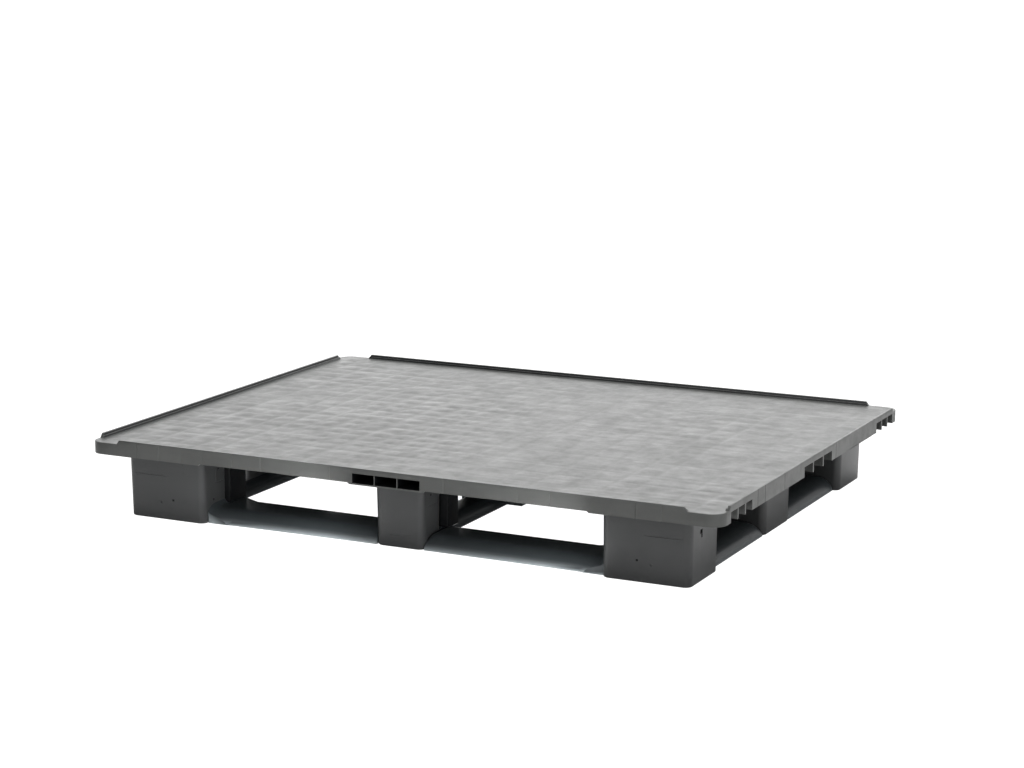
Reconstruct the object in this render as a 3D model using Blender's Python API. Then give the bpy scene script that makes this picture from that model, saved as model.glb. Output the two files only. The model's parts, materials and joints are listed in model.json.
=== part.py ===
"""Closed-deck plastic pallet, 1300 x 1000 mm, with nine feet and a base of five runners.

Metres, +Z up. The origin is on the floor, below the middle of the deck. X runs along the long
side, Y along the short side, and the front is at -Y.
"""
import math

import bmesh
import bpy
from mathutils import Matrix

# Driving dimensions
LENGTH = 1.300
WIDTH = 1.000
DECK_TOP = 0.146
RIM_HEIGHT = 0.008
APRON_BOTTOM = 0.123
DECK_CORNER = 0.028
APRON_WALL = 0.005
SKIN = 0.0035
RIB = 0.003
RIM_WIDTH = 0.005
RIM_END_X = 0.584
RIM_END_Y = 0.461
RIM_SLOPE = 0.004

# Ribs under the deck, on both sides of the middle
RIBS_X = (0.0235, 0.070, 0.118, 0.202, 0.265, 0.328, 0.393, 0.441, 0.540, 0.592)
RIBS_Y = (0.028, 0.080, 0.184, 0.286, 0.349, 0.421, 0.457)

# Windows in the front and back of the apron, notches in its left and right side
WINDOW_HALF = 0.070
WINDOW_BOTTOM = 0.126
WINDOW_TOP = 0.1415
NOTCH_TOP = 0.1415
NOTCHES_Y = ((-0.456, -0.349), (-0.080, 0.080), (0.349, 0.456))

# Feet: the outer shell stands on the floor, the post behind it stands on the runners
CORNER_OUT_X = 0.581
CORNER_IN_X = 0.413
CORNER_OUT_Y = 0.4665
CORNER_IN_Y = 0.332
SHELL_DEPTH = 0.0745
MIDDLE_HALF_X = 0.051
MIDDLE_OUT_Y = 0.4495
SIDE_HALF_Y = 0.072
SIDE_OUT_X = 0.571
FOOT_CORNER = 0.014
DRAFT = 0.002
SHELL_WALL = 0.004
SHELL_TOP = 0.006
POST_STEP = 0.012
POST_DEPTH = 0.045
POST_WALL = 0.004
CENTRE_POST_HALF = 0.066

# Runners: flat-topped strips with round edges
RUNNER_HEIGHT = 0.028
RUNNER_NOSE = 0.023
RUNNER_WALL = 0.0035
RUNNER_OUT_Y = 0.450
RUNNER_IN_Y = 0.345
RUNNER_OUT_X = 0.568
RUNNER_IN_X = 0.478
CENTRE_RUNNER_HALF = 0.034
SEAM_Y = 0.129
GUSSET = 0.036
PAD_TOP = RUNNER_HEIGHT - 0.0004
PAD_BOTTOM = 0.0004

GAP = 0.0003
PAST = 0.004
ARC_STEPS = 5

COLLECTION = "plastic_pallet"
CUTTERS = "cutters"


def clear_scene():
    for item in list(bpy.data.objects):
        bpy.data.objects.remove(item, do_unlink=True)


def make_collection(name):
    collection = bpy.data.collections.new(name)
    bpy.context.scene.collection.children.link(collection)
    return collection


def make_material(name, colour, roughness):
    material = bpy.data.materials.new(name)
    material.use_nodes = True
    shader = material.node_tree.nodes["Principled BSDF"]
    shader.inputs["Base Color"].default_value = (*colour, 1.0)
    shader.inputs["Roughness"].default_value = roughness
    shader.inputs["Metallic"].default_value = 0.0
    return material


def arc(centre, radius_a, radius_b, start, end, steps=ARC_STEPS):
    """Points on an elliptic arc, from the start angle to the end angle in degrees."""
    points = []
    for step in range(steps + 1):
        angle = math.radians(start + (end - start) * step / steps)
        points.append((centre[0] + radius_a * math.cos(angle), centre[1] + radius_b * math.sin(angle)))
    return points


def rounded_rectangle(x0, x1, y0, y1, radius, steps=ARC_STEPS):
    corners = ((x1 - radius, y0 + radius, -90), (x1 - radius, y1 - radius, 0),
               (x0 + radius, y1 - radius, 90), (x0 + radius, y0 + radius, 180))
    points = []
    for x, y, start in corners:
        points += arc((x, y), radius, radius, start, start + 90, steps)
    return points


AXES = {
    "X": Matrix(((0, 0, 1, 0), (1, 0, 0, 0), (0, 1, 0, 0), (0, 0, 0, 1))),
    "Y": Matrix(((1, 0, 0, 0), (0, 0, -1, 0), (0, 1, 0, 0), (0, 0, 0, 1))),
    "Z": Matrix.Identity(4),
}


def prism(outline, low, high, axis="Z"):
    """A mesh of a flat outline, drawn out along an axis from low to high."""
    curve = bpy.data.curves.new("outline", "CURVE")
    curve.dimensions = "2D"
    curve.fill_mode = "BOTH"
    curve.extrude = (high - low) / 2
    spline = curve.splines.new("POLY")
    spline.points.add(len(outline) - 1)
    for point, (x, y) in zip(spline.points, outline):
        point.co = (x, y, 0.0, 1.0)
    spline.use_cyclic_u = True
    holder = bpy.data.objects.new("outline", curve)
    bpy.context.scene.collection.objects.link(holder)
    graph = bpy.context.evaluated_depsgraph_get()
    mesh = bpy.data.meshes.new_from_object(holder.evaluated_get(graph))
    bpy.data.objects.remove(holder)
    bm = bmesh.new()
    bm.from_mesh(mesh)
    bmesh.ops.remove_doubles(bm, verts=bm.verts, dist=1e-6)
    middle = (low + high) / 2 if axis != "Y" else -(low + high) / 2
    bmesh.ops.translate(bm, verts=bm.verts, vec=(0.0, 0.0, middle))
    bmesh.ops.transform(bm, verts=bm.verts, matrix=AXES[axis])
    bmesh.ops.recalc_face_normals(bm, faces=bm.faces)
    bm.to_mesh(mesh)
    bm.free()
    return mesh


def boxes(limits):
    """One mesh of separate boxes, each given as x0, x1, y0, y1, z0, z1."""
    bm = bmesh.new()
    for x0, x1, y0, y1, z0, z1 in limits:
        place = Matrix.Translation(((x0 + x1) / 2, (y0 + y1) / 2, (z0 + z1) / 2))
        size = Matrix.Diagonal((x1 - x0, y1 - y0, z1 - z0, 1.0))
        bmesh.ops.create_cube(bm, size=1.0, matrix=place @ size)
    mesh = bpy.data.meshes.new("boxes")
    bm.to_mesh(mesh)
    bm.free()
    return mesh


def add_object(name, mesh, collection, material=None):
    mesh.name = name
    item = bpy.data.objects.new(name, mesh)
    collection.objects.link(item)
    if material:
        mesh.materials.clear()
        mesh.materials.append(material)
    return item


def boolean(item, mesh, operation, label):
    """Cut a mesh out of an item, or join it on, with a Boolean modifier."""
    cutter = add_object(f"{item.name}_{label}", mesh, bpy.data.collections[CUTTERS])
    cutter.hide_render = True
    cutter.display_type = "WIRE"
    modifier = item.modifiers.new(label, "BOOLEAN")
    modifier.operation = operation
    modifier.solver = "EXACT"
    modifier.object = cutter


def both_signs(values):
    return sorted([-value for value in values] + list(values))


def cells(edges, wall):
    """The clear stretches between ribs of one thickness, along one direction."""
    half = wall / 2
    return [(low + half, high - half) for low, high in zip(edges, edges[1:])]


def make_deck(collection, material):
    """The deck is a closed skin with an apron, rims and a grid of ribs below it."""
    half_x, half_y = LENGTH / 2, WIDTH / 2
    outline = rounded_rectangle(-half_x, half_x, -half_y, half_y, DECK_CORNER)
    top = DECK_TOP + RIM_HEIGHT
    deck = add_object("top_deck", prism(outline, APRON_BOTTOM, top), collection, material)

    inner_x, inner_y = half_x - RIM_WIDTH, half_y - RIM_WIDTH
    above = top + PAST
    tray = boxes([(-inner_x, inner_x, -inner_y, inner_y, DECK_TOP, above)])
    boolean(deck, tray, "DIFFERENCE", "tray")

    corners = bmesh.new()
    for side_x in (-1, 1):
        for side_y in (-1, 1):
            low = Matrix.Translation((side_x * half_x, side_y * half_y, DECK_TOP + 0.01))
            size = Matrix.Diagonal((2 * (half_x - RIM_END_X), 2 * (half_y - RIM_END_Y), 0.02, 1.0))
            cube = bmesh.ops.create_cube(corners, size=1.0, matrix=low @ size)
            bottom = [v for v in cube["verts"] if v.co.z < DECK_TOP + 0.005]
            for vert in bottom:
                if abs(vert.co.x) < half_x:
                    vert.co.x += side_x * RIM_SLOPE
                if abs(vert.co.y) < half_y:
                    vert.co.y += side_y * RIM_SLOPE
    mesh = bpy.data.meshes.new("corners")
    corners.to_mesh(mesh)
    corners.free()
    boolean(deck, mesh, "DIFFERENCE", "corners")

    edge_x, edge_y = half_x - APRON_WALL + RIB / 2, half_y - APRON_WALL + RIB / 2
    columns = cells([-edge_x] + both_signs(RIBS_X) + [edge_x], RIB)
    rows = cells([-edge_y] + both_signs(RIBS_Y) + [edge_y], RIB)
    ceiling = DECK_TOP - SKIN
    floor = APRON_BOTTOM - PAST
    inset = DECK_CORNER - APRON_WALL
    pockets = []
    for x0, x1 in columns:
        for y0, y1 in rows:
            at_corner = max(abs(x0), abs(x1)) > edge_x - inset and max(abs(y0), abs(y1)) > edge_y - inset
            if not at_corner:
                pockets.append((x0, x1, y0, y1, floor, ceiling))
    boolean(deck, boxes(pockets), "DIFFERENCE", "pockets")

    openings = []
    marks = [-WINDOW_HALF - RIB / 2] + both_signs(RIBS_X[:1]) + [WINDOW_HALF + RIB / 2]
    for x0, x1 in cells(marks, RIB):
        for side in (-1, 1):
            ends = sorted((side * (half_y - APRON_WALL - PAST), side * (half_y + PAST)))
            openings.append((x0, x1, *ends, WINDOW_BOTTOM, WINDOW_TOP))
    for y0, y1 in NOTCHES_Y:
        for side in (-1, 1):
            ends = sorted((side * (half_x - APRON_WALL - PAST), side * (half_x + PAST)))
            openings.append((*ends, y0, y1, floor, NOTCH_TOP))
    boolean(deck, boxes(openings), "DIFFERENCE", "openings")


def taper(mesh, centre, height):
    """Lean the outer sides of a foot, so that it is a little wider at the top."""
    for vert in mesh.vertices:
        if vert.co.z > height / 2:
            if abs(vert.co.x) > abs(centre[0]):
                vert.co.x += math.copysign(DRAFT, vert.co.x)
            if abs(vert.co.y) > abs(centre[1]):
                vert.co.y += math.copysign(DRAFT, vert.co.y)


def corner_outline(side_x, side_y):
    """The L-shaped outline of a corner shell, round at its outer and inner corners."""
    out_x, out_y, radius = CORNER_OUT_X, CORNER_OUT_Y, FOOT_CORNER
    notch_x, notch_y = CORNER_OUT_X - SHELL_DEPTH, CORNER_OUT_Y - SHELL_DEPTH
    points = arc((CORNER_IN_X + radius, out_y - radius), radius, radius, 180, 90)
    points += arc((out_x - radius, out_y - radius), radius, radius, 90, 0)
    points += arc((out_x - radius, CORNER_IN_Y + radius), radius, radius, 0, -90)
    points += [(notch_x, CORNER_IN_Y), (notch_x, notch_y), (CORNER_IN_X, notch_y)]
    return [(side_x * x, side_y * y) for x, y in points]


def make_shell(name, outline, centre, pockets, collection, material):
    height = APRON_BOTTOM - GAP
    mesh = prism(outline, 0.0, height)
    taper(mesh, centre, height)
    shell = add_object(name, mesh, collection, material)
    hollow = [(*sorted(x), *sorted(y), -PAST, height - SHELL_TOP) for x, y in pockets]
    boolean(shell, boxes(hollow), "DIFFERENCE", "hollow")


def split(low, high, count):
    """Equal stretches with a wall around and between them."""
    pitch = (high - low - SHELL_WALL) / count
    return [(low + SHELL_WALL + pitch * i, low + pitch * (i + 1)) for i in range(count)]


def make_corner_feet(collection, material):
    for side_x, column in ((-1, "left"), (1, "right")):
        for side_y, row in ((-1, "front"), (1, "back")):
            notch_x, notch_y = CORNER_OUT_X - SHELL_DEPTH, CORNER_OUT_Y - SHELL_DEPTH
            pockets = []
            for x0, x1 in split(CORNER_IN_X, notch_x + SHELL_WALL, 2):
                pockets.append((x0, x1, notch_y + SHELL_WALL, CORNER_OUT_Y - SHELL_WALL))
            wing = (notch_x + SHELL_WALL, CORNER_OUT_X - SHELL_WALL)
            pockets.append((*wing, notch_y + SHELL_WALL, CORNER_OUT_Y - SHELL_WALL))
            pockets.append((*wing, CORNER_IN_Y + SHELL_WALL, notch_y))
            placed = []
            for x0, x1, y0, y1 in pockets:
                placed.append(((side_x * x0, side_x * x1), (side_y * y0, side_y * y1)))
            outline = corner_outline(side_x, side_y)
            make_shell(f"{row}_{column}_foot", outline, (notch_x, notch_y), placed, collection, material)


def make_middle_feet(collection, material):
    for side, row in ((-1, "front"), (1, "back")):
        ends = sorted((side * MIDDLE_OUT_Y, side * (MIDDLE_OUT_Y - SHELL_DEPTH)))
        outline = rounded_rectangle(-MIDDLE_HALF_X, MIDDLE_HALF_X, *ends, FOOT_CORNER)
        room = (ends[0] + SHELL_WALL, ends[1] - SHELL_WALL)
        pockets = [(x, room) for x in split(-MIDDLE_HALF_X, MIDDLE_HALF_X, 2)]
        centre = (MIDDLE_HALF_X, MIDDLE_OUT_Y - SHELL_DEPTH / 2)
        make_shell(f"{row}_middle_foot", outline, centre, pockets, collection, material)
    for side, column in ((-1, "left"), (1, "right")):
        ends = sorted((side * SIDE_OUT_X, side * (SIDE_OUT_X - SHELL_DEPTH)))
        outline = rounded_rectangle(*ends, -SIDE_HALF_Y, SIDE_HALF_Y, FOOT_CORNER)
        room = (ends[0] + SHELL_WALL, ends[1] - SHELL_WALL)
        pockets = [(room, y) for y in split(-SIDE_HALF_Y, SIDE_HALF_Y, 3)]
        centre = (SIDE_OUT_X - SHELL_DEPTH / 2, SIDE_HALF_Y)
        make_shell(f"{column}_middle_foot", outline, centre, pockets, collection, material)


def make_post(name, x, y, collection, material):
    """A post is a square tube with a floor, open at its top, between a runner and the deck."""
    bottom, top = RUNNER_HEIGHT + GAP, APRON_BOTTOM - GAP
    (x0, x1), (y0, y1) = sorted(x), sorted(y)
    post = add_object(name, boxes([(x0, x1, y0, y1, bottom, top)]), collection, material)
    wall = POST_WALL
    middle = (x0 + x1) / 2
    floor = bottom + wall
    hollow = [(x0 + wall, middle - wall / 2, y0 + wall, y1 - wall, floor, top + PAST),
              (middle + wall / 2, x1 - wall, y0 + wall, y1 - wall, floor, top + PAST)]
    boolean(post, boxes(hollow), "DIFFERENCE", "hollow")


def post_places():
    """The plan of each post: its name, its range in X and its range in Y."""
    corner_x = (CORNER_IN_X - POST_STEP, CORNER_OUT_X - SHELL_DEPTH - GAP)
    corner_y = (CORNER_IN_Y, CORNER_OUT_Y - SHELL_DEPTH - GAP)
    middle_x = MIDDLE_HALF_X + POST_STEP
    middle_y = (CORNER_IN_Y, MIDDLE_OUT_Y - SHELL_DEPTH - GAP)
    side_x = (SIDE_OUT_X - SHELL_DEPTH - POST_DEPTH, SIDE_OUT_X - SHELL_DEPTH - GAP)
    side_y = SIDE_HALF_Y + POST_STEP
    places = [("centre_post", (-CENTRE_POST_HALF, CENTRE_POST_HALF), (-CENTRE_POST_HALF, CENTRE_POST_HALF))]
    for sx, column in ((-1, "left"), (1, "right")):
        for sy, row in ((-1, "front"), (1, "back")):
            x_range = tuple(sx * x for x in corner_x)
            y_range = tuple(sy * y for y in corner_y)
            places.append((f"{row}_{column}_post", x_range, y_range))
        places.append((f"{column}_middle_post", tuple(sx * x for x in side_x), (-side_y, side_y)))
    for sy, row in ((-1, "front"), (1, "back")):
        places.append((f"{row}_middle_post", (-middle_x, middle_x), tuple(sy * y for y in middle_y)))
    return places


def nose_outline(low, high, height=RUNNER_HEIGHT, nose=RUNNER_NOSE):
    """The cross-section of a runner: flat below and on top, with a round nose on each side."""
    points = arc((low + nose, 0.0), nose, height, 180, 90)
    points += arc((high - nose, 0.0), nose, height, 90, 0)
    return points


def runner_hollow(low, high, start, end, axis):
    """A bay below a runner, inside its walls."""
    wall = RUNNER_WALL
    upper = nose_outline(low + wall, high - wall, RUNNER_HEIGHT - wall, RUNNER_NOSE - wall)[1:-1]
    outline = [(low + wall, -PAST)] + upper + [(high - wall, -PAST)]
    return prism(outline, start, end, axis)


def merge(meshes):
    bm = bmesh.new()
    for mesh in meshes:
        bm.from_mesh(mesh)
    joined = bpy.data.meshes.new("joined")
    bm.to_mesh(joined)
    bm.free()
    return joined


def bays(start, end, count):
    """Equal bays along a runner, with a wall before, between and after them."""
    pitch = (end - start - RUNNER_WALL) / count
    return [(start + RUNNER_WALL + pitch * i, start + pitch * (i + 1)) for i in range(count)]


def gusset_outline(side_x, side_y):
    """The pad below a corner post, with a slanted edge where it runs into the cross runner."""
    x0, x1 = CORNER_IN_X - POST_STEP, CORNER_OUT_X - SHELL_DEPTH - GAP
    y0, y1 = CORNER_IN_Y, CORNER_OUT_Y - SHELL_DEPTH - GAP
    points = [(x1, y0), (x1, y1), (x0 - GUSSET, y1), (x0 - GUSSET, y0 + GUSSET), (x0, y0)]
    return [(side_x * x, side_y * y) for x, y in points]


def make_cross_runner(side, row, collection, material):
    """The front or back runner runs from corner to corner, behind the outer shells."""
    y_out, y_in = side * RUNNER_OUT_Y, side * RUNNER_IN_Y
    low, high = sorted((y_out, y_in))
    reach = CORNER_OUT_X - SHELL_DEPTH - GAP
    name = f"{row}_runner"
    body = prism(nose_outline(low, high), -reach, reach, "X")
    runner = add_object(name, body, collection, material)
    for side_x, label in ((-1, "left_pad"), (1, "right_pad")):
        boolean(runner, prism(gusset_outline(side_x, side), PAD_BOTTOM, PAD_TOP), "UNION", label)
    pad_x = MIDDLE_HALF_X + POST_STEP
    pad_y = sorted((side * CORNER_IN_Y, side * (MIDDLE_OUT_Y - SHELL_DEPTH - GAP)))
    boolean(runner, boxes([(-pad_x, pad_x, *pad_y, PAD_BOTTOM, PAD_TOP)]), "UNION", "middle_pad")

    notch_y = CORNER_OUT_Y - SHELL_DEPTH - GAP
    middle_y = MIDDLE_OUT_Y - SHELL_DEPTH - GAP
    beyond = CORNER_OUT_Y + PAST
    clear = []
    for side_x in (-1, 1):
        ends = sorted((side_x * (CORNER_IN_X - GAP), side_x * (reach + PAST)))
        clear.append((*ends, *sorted((side * notch_y, side * beyond)), -PAST, RUNNER_HEIGHT + PAST))
    middle_x = MIDDLE_HALF_X + GAP
    clear.append((-middle_x, middle_x, *sorted((side * middle_y, side * beyond)), -PAST, RUNNER_HEIGHT + PAST))
    boolean(runner, boxes(clear), "DIFFERENCE", "shell_room")

    hollows = []
    for side_x in (-1, 1):
        start, end = sorted((side_x * (MIDDLE_HALF_X + GAP), side_x * (CORNER_IN_X - POST_STEP)))
        for bay in bays(start, end, 4):
            hollows.append(runner_hollow(low, high, *bay, "X"))
    boolean(runner, merge(hollows), "DIFFERENCE", "hollow")


def make_side_runner(name, side, start, end, foot, collection, material):
    """A stretch of the left or right runner. Where it passes a foot, it runs behind the shell."""
    low, high = sorted((side * RUNNER_OUT_X, side * RUNNER_IN_X))
    runner = add_object(name, prism(nose_outline(low, high), start, end, "Y"), collection, material)
    bay_ends = [(start, end, 3)]
    if foot:
        pad = sorted((side * (SIDE_OUT_X - SHELL_DEPTH - GAP), side * (SIDE_OUT_X - SHELL_DEPTH - POST_DEPTH)))
        pad_y = SIDE_HALF_Y + POST_STEP
        boolean(runner, boxes([(*pad, -pad_y, pad_y, PAD_BOTTOM, PAD_TOP)]), "UNION", "pad")
        shell_x = sorted((side * (SIDE_OUT_X - SHELL_DEPTH - GAP), side * (SIDE_OUT_X + PAST)))
        shell_y = SIDE_HALF_Y + GAP
        room = boxes([(*shell_x, -shell_y, shell_y, -PAST, RUNNER_HEIGHT + PAST)])
        boolean(runner, room, "DIFFERENCE", "shell_room")
        bay_ends = [(start, -pad_y, 1 if side > 0 else 3), (pad_y, end, 3 if side > 0 else 1)]
    hollows = []
    for bay_start, bay_end, number in bay_ends:
        for bay in bays(bay_start, bay_end, number):
            hollows.append(runner_hollow(low, high, *bay, "Y"))
    boolean(runner, merge(hollows), "DIFFERENCE", "hollow")


def make_centre_runner(collection, material):
    half, reach = CENTRE_RUNNER_HALF, CORNER_IN_Y - GAP
    runner = add_object("centre_runner", prism(nose_outline(-half, half), -reach, reach, "Y"),
                        collection, material)
    pad = CENTRE_POST_HALF
    boolean(runner, boxes([(-pad, pad, -pad, pad, PAD_BOTTOM, PAD_TOP)]), "UNION", "pad")
    hollows = []
    for start, end in ((-reach, -pad), (pad, reach)):
        for bay in bays(start, end, 3):
            hollows.append(runner_hollow(-half, half, *bay, "Y"))
    boolean(runner, merge(hollows), "DIFFERENCE", "hollow")


def make_runners(collection, material):
    for side, row in ((-1, "front"), (1, "back")):
        make_cross_runner(side, row, collection, material)
    reach = CORNER_IN_Y - GAP
    seam = GAP / 2
    make_side_runner("right_front_runner", 1, -reach, -SEAM_Y - seam, False, collection, material)
    make_side_runner("right_back_runner", 1, -SEAM_Y + seam, reach, True, collection, material)
    make_side_runner("left_back_runner", -1, SEAM_Y + seam, reach, False, collection, material)
    make_side_runner("left_front_runner", -1, -reach, SEAM_Y - seam, True, collection, material)
    make_centre_runner(collection, material)


def main():
    clear_scene()
    parts = make_collection(COLLECTION)
    make_collection(CUTTERS)
    grey = make_material("matt_grey_plastic", (0.085, 0.087, 0.088), 0.55)
    black = make_material("satin_black_plastic", (0.03, 0.032, 0.036), 0.30)
    make_deck(parts, grey)
    make_corner_feet(parts, grey)
    make_middle_feet(parts, grey)
    for name, x, y in post_places():
        make_post(name, x, y, parts, black)
    make_runners(parts, black)


main()
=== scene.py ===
# %% [markdown]
# # A closed-deck plastic pallet
# The pallet is moulded in dark grey plastic. A closed deck with a low rim stands on nine feet,
# and five lines of satin black runners join the feet on the floor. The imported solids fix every
# size, and each one is replaced here by a finer moulding with soft edges, draft, ribs and sink
# marks. Nothing on the pallet moves, so every piece rides on the one body.

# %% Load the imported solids
import json
import math

import bmesh
import bpy
from mathutils import Matrix, Vector, noise

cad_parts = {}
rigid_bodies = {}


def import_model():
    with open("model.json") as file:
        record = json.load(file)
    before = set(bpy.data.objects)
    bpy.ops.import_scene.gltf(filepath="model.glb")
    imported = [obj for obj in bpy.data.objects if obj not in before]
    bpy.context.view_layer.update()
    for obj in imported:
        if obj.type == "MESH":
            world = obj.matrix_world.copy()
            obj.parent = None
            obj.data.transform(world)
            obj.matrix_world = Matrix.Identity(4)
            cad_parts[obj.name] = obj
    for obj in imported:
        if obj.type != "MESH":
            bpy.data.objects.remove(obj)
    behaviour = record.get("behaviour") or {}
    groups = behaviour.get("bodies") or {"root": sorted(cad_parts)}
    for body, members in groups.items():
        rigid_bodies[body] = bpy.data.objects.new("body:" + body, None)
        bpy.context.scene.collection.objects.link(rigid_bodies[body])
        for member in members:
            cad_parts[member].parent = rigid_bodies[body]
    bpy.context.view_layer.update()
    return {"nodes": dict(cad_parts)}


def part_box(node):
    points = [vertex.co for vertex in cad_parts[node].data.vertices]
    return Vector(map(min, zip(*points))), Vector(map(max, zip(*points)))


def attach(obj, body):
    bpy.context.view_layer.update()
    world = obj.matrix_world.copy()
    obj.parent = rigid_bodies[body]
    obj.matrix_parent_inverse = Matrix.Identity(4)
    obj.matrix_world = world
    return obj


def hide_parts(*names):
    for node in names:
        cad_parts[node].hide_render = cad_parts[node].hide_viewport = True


for item in list(bpy.data.objects):
    bpy.data.objects.remove(item, do_unlink=True)
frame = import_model()

# %% [markdown]
# ## Camera, floor and soft light
# The camera stands about five metres away with a long lens, a little above the deck, so the deck
# is seen at a grazing angle. The floor that the camera sees is an even white sheet. A second sheet
# just below it is hidden from the camera: it takes the light and the shadow, so the plastic
# reflects a real floor. Large area lights give the soft, even studio look, and two small cards
# brighten the feet's inner sides in the openings. Air that is equally bright all round would make
# the plastic look flat, so it fades towards one side, and only the camera sees it white.

# %% Camera
camera_data = bpy.data.cameras.new("studio_camera")
camera_data.lens = 88.3
camera_data.sensor_width = 36.0
camera_data.shift_x = 0.0361
camera = bpy.data.objects.new("studio_camera", camera_data)
camera.location = (2.1343, -4.3839, 1.2)
camera.rotation_euler = (math.radians(78.715), 0.0, math.radians(26.692))
bpy.context.scene.collection.objects.link(camera)
bpy.context.scene.camera = camera
bpy.context.scene.view_settings.view_transform = "Standard"
print("camera to pallet:", round(camera.location.length, 2), "m")


# %% Floors
def add_floor(name, height, half, colour, emission):
    """A wide level sheet that belongs to the studio, not to the pallet."""
    bm = bmesh.new()
    bmesh.ops.create_grid(bm, x_segments=1, y_segments=1, size=half)
    bmesh.ops.translate(bm, verts=bm.verts, vec=(0.0, 0.0, height))
    mesh = bpy.data.meshes.new(name)
    bm.to_mesh(mesh)
    bm.free()
    paint = bpy.data.materials.new(name)
    paint.use_nodes = True
    shader = paint.node_tree.nodes["Principled BSDF"]
    shader.inputs["Base Color"].default_value = (*colour, 1.0)
    shader.inputs["Roughness"].default_value = 0.9
    shader.inputs["Emission Color"].default_value = (1.0, 1.0, 1.0, 1.0)
    shader.inputs["Emission Strength"].default_value = emission
    mesh.materials.append(paint)
    floor = bpy.data.objects.new(name, mesh)
    bpy.context.scene.collection.objects.link(floor)
    return floor


floor_half = 60.0
seen_floor = add_floor("seen_floor", -0.001, floor_half, (0.0, 0.0, 0.0), 1.2)
seen_floor.visible_diffuse = False
seen_floor.visible_glossy = False
seen_floor.visible_shadow = False
lit_floor = add_floor("lit_floor", -0.002, floor_half, (0.8, 0.8, 0.8), 0.05)
lit_floor.visible_camera = False
print("floors:", seen_floor.name, lit_floor.name)


# %% Lights
def add_light(name, place, aim, size, watts):
    """An area light that looks at a point, and that the camera doesn't see."""
    data = bpy.data.lights.new(name, "AREA")
    data.shape = "RECTANGLE"
    data.size, data.size_y = size
    data.energy = watts
    light = bpy.data.objects.new(name, data)
    light.location = place
    light.rotation_euler = (Vector(aim) - Vector(place)).to_track_quat("-Z", "Y").to_euler()
    light.visible_camera = False
    bpy.context.scene.collection.objects.link(light)
    return light


soft_lights = {
    "overhead_softbox": ((0.0, 0.4, 3.0), (0.0, 0.0, 0.0), (3.0, 3.0), 84.0),
    "front_fill": ((0.4, -3.0, 0.22), (0.2, -0.5, 0.05), (3.0, 0.4), 1.5),
    "low_right_fill": ((2.4, -2.6, 0.25), (0.0, -0.3, 0.06), (2.4, 0.4), 4.0),
    "side_softbox": ((3.2, -0.2, 1.6), (0.5, 0.0, 0.1), (2.4, 1.4), 3.0),
    "back_softbox": ((-1.4, 4.0, 1.3), (0.0, 0.0, 0.1), (6.0, 2.4), 68.0),
    "camera_side_softbox": ((0.6, -4.2, 2.6), (0.0, 0.0, 0.1), (2.5, 1.8), 22.0),
}
for name, (place, aim, size, watts) in soft_lights.items():
    add_light(name, place, aim, size, watts)
card_watts = 0.32
for name, place in (("left_bay_card", (-0.12, -0.60, 0.07)), ("right_bay_card", (0.36, -0.60, 0.07))):
    card = add_light(name, place, (place[0] - 0.3, -0.44, 0.06), (0.10, 0.10), card_watts)
    card.visible_glossy = False

# %% Air that is brighter on one side
air_strength, air_darkest = 0.6, 0.12
world = bpy.data.worlds.new("studio_air")
bpy.context.scene.world = world
world.use_nodes = True
air = world.node_tree
air.nodes["Background"].inputs["Color"].default_value = (1.0, 1.0, 1.0, 1.0)
towards = air.nodes.new("ShaderNodeVectorMath")
towards.operation = "DOT_PRODUCT"
towards.inputs[1].default_value = Vector((0.80, 0.35, 0.20)).normalized()
air.links.new(air.nodes.new("ShaderNodeTexCoord").outputs["Generated"], towards.inputs[0])
fade = air.nodes.new("ShaderNodeMapRange")
fade.inputs["From Min"].default_value = -0.75
fade.inputs["From Max"].default_value = 0.75
fade.inputs["To Min"].default_value = air_darkest * air_strength
fade.inputs["To Max"].default_value = air_strength
air.links.new(towards.outputs["Value"], fade.inputs["Value"])
seen = air.nodes.new("ShaderNodeLightPath")
white = air.nodes.new("ShaderNodeMath")
white.operation = "MAXIMUM"
air.links.new(fade.outputs["Result"], white.inputs[0])
air.links.new(seen.outputs["Is Camera Ray"], white.inputs[1])
air.links.new(white.outputs["Value"], air.nodes["Background"].inputs["Strength"])
print("air strength from", round(air_darkest * air_strength, 3), "to", air_strength)

# %% [markdown]
# ## Moulded plastic
# Injection-moulded plastic has one colour all through, so its looks come from the surface: cloudy
# variation from the melt's flow, streaks and patches that shine more. A painted texture could show
# this too, but it has one fixed sharpness. Here every pattern is made from noise on Object
# coordinates, so it keeps its real size in metres at any distance. The runners' lower lips get a pale
# painted highlight, which follows a per-vertex attribute that the runners' meshes carry.


# %% Helpers for a tree of nodes
def clouds(tree, place, scale, detail, rough, stretch=(1.0, 1.0, 1.0)):
    """Noise on a place in metres, which can be stretched into streaks."""
    turn = tree.nodes.new("ShaderNodeMapping")
    turn.inputs["Scale"].default_value = stretch
    tree.links.new(place, turn.inputs["Vector"])
    cloud = tree.nodes.new("ShaderNodeTexNoise")
    cloud.inputs["Scale"].default_value = scale
    cloud.inputs["Detail"].default_value = detail
    cloud.inputs["Roughness"].default_value = rough
    tree.links.new(turn.outputs["Vector"], cloud.inputs["Vector"])
    return cloud.outputs["Fac"]


def band(tree, source, low, high, start, end):
    """Turn the values between low and high into values between start and end."""
    spread = tree.nodes.new("ShaderNodeMapRange")
    spread.inputs["From Min"].default_value = low
    spread.inputs["From Max"].default_value = high
    spread.inputs["To Min"].default_value = start
    spread.inputs["To Max"].default_value = end
    tree.links.new(source, spread.inputs["Value"])
    return spread.outputs["Result"]


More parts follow.
